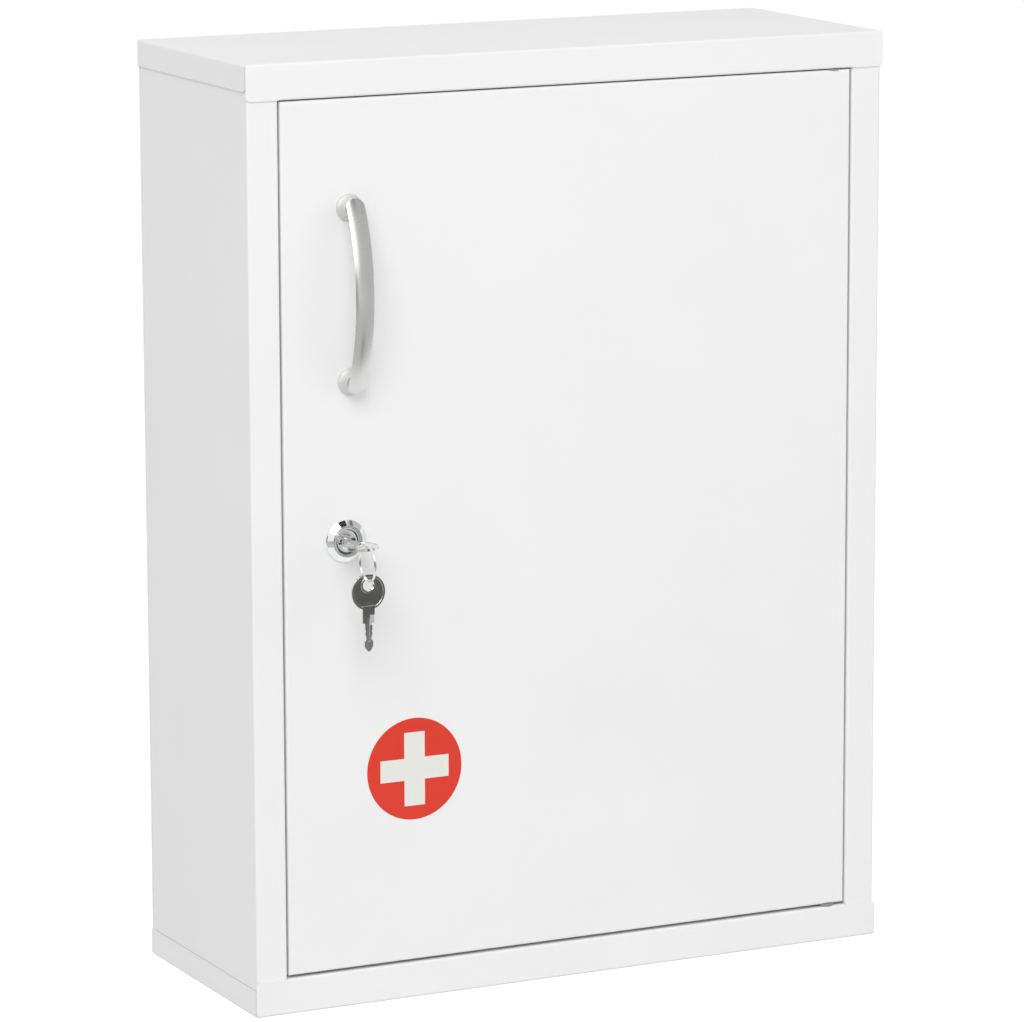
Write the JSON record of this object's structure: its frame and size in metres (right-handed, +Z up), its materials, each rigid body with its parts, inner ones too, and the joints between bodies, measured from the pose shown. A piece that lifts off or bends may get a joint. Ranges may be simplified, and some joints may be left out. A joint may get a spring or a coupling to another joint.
{
  "type": "lockable medicine cabinet",
  "caption": "Wall-mounted steel medicine cabinet with an inset hinged door, an arched handle, a keyed cam lock and shelves inside.",
  "frame": {"origin": "centre of the four wall-fixing holes on the outer face of the back", "axes": "+X to the right seen from the front, +Y into the wall, +Z up"},
  "size_m": [0.394, 0.1905, 0.53],
  "materials": {
    "powder_coated_steel": "smooth satin white powder coat",
    "zinc_plated_steel": "zinc plated",
    "silicone_rubber": "translucent soft",
    "nylon": "moulded natural",
    "satin_chrome": "satin chrome plate on a zinc casting",
    "bright_chrome": "bright chrome plate on a zinc casting",
    "brass": "stamped",
    "nickel_plated_brass": "nickel plated",
    "nickel_plated_steel": "nickel plated"
  },
  "bodies": {
    "carcass": {"left_side_panel": "powder_coated_steel", "right_side_panel": "powder_coated_steel", "back_panel": "powder_coated_steel", "top_cap": "powder_coated_steel", "bottom_cap": "powder_coated_steel", "upper_shelf": "powder_coated_steel", "lower_shelf": "powder_coated_steel", "upper_hinge_pin": "zinc_plated_steel", "lower_hinge_pin": "zinc_plated_steel", "door_buffers": "silicone_rubber"},
    "door": {"door_panel": "powder_coated_steel", "door_stiffener": "powder_coated_steel", "upper_hinge_bush": "nylon", "lower_hinge_bush": "nylon", "handle_bow": "satin_chrome", "handle_screws": "zinc_plated_steel", "handle_washers": "zinc_plated_steel", "lock_housing": "bright_chrome", "lock_washer": "zinc_plated_steel", "lock_nut": "zinc_plated_steel"},
    "plug": {"lock_plug": "bright_chrome", "lock_wafers": "brass", "lock_cam": "zinc_plated_steel", "cam_washer": "zinc_plated_steel", "cam_screw": "zinc_plated_steel"},
    "key_in_lock": {"key": "nickel_plated_brass"},
    "ring": {"key_ring": "nickel_plated_steel"},
    "hanging_key": {"spare_key": "nickel_plated_brass"}
  },
  "joints": [
    {"name": "door_hinge", "type": "hinge", "parent": "carcass", "child": "door", "pos_m": [0.16655, -0.1472, 0], "axis": [0, 0, 1], "range_deg": [0, 120]},
    {"name": "lock_turn", "type": "hinge", "parent": "door", "child": "plug", "pos_m": [-0.14005, -0.1512, 0], "axis": [0, 1, 0], "range_deg": [0, 90]},
    {"name": "key_slide", "type": "slide", "parent": "plug", "child": "key_in_lock", "axis": [0, -1, 0], "range_m": [0, 0.025]},
    {"name": "ring_swing", "type": "hinge", "parent": "key_in_lock", "child": "ring", "pos_m": [-0.14005, -0.18, 0.0009], "axis": [0, 1, 0], "range_deg": [-25, 25]},
    {"name": "spare_key_swing", "type": "hinge", "parent": "ring", "child": "hanging_key", "pos_m": [-0.14005, -0.18, -0.01788], "axis": [0, 1, 0], "range_deg": [-100, 100]}
  ]
}
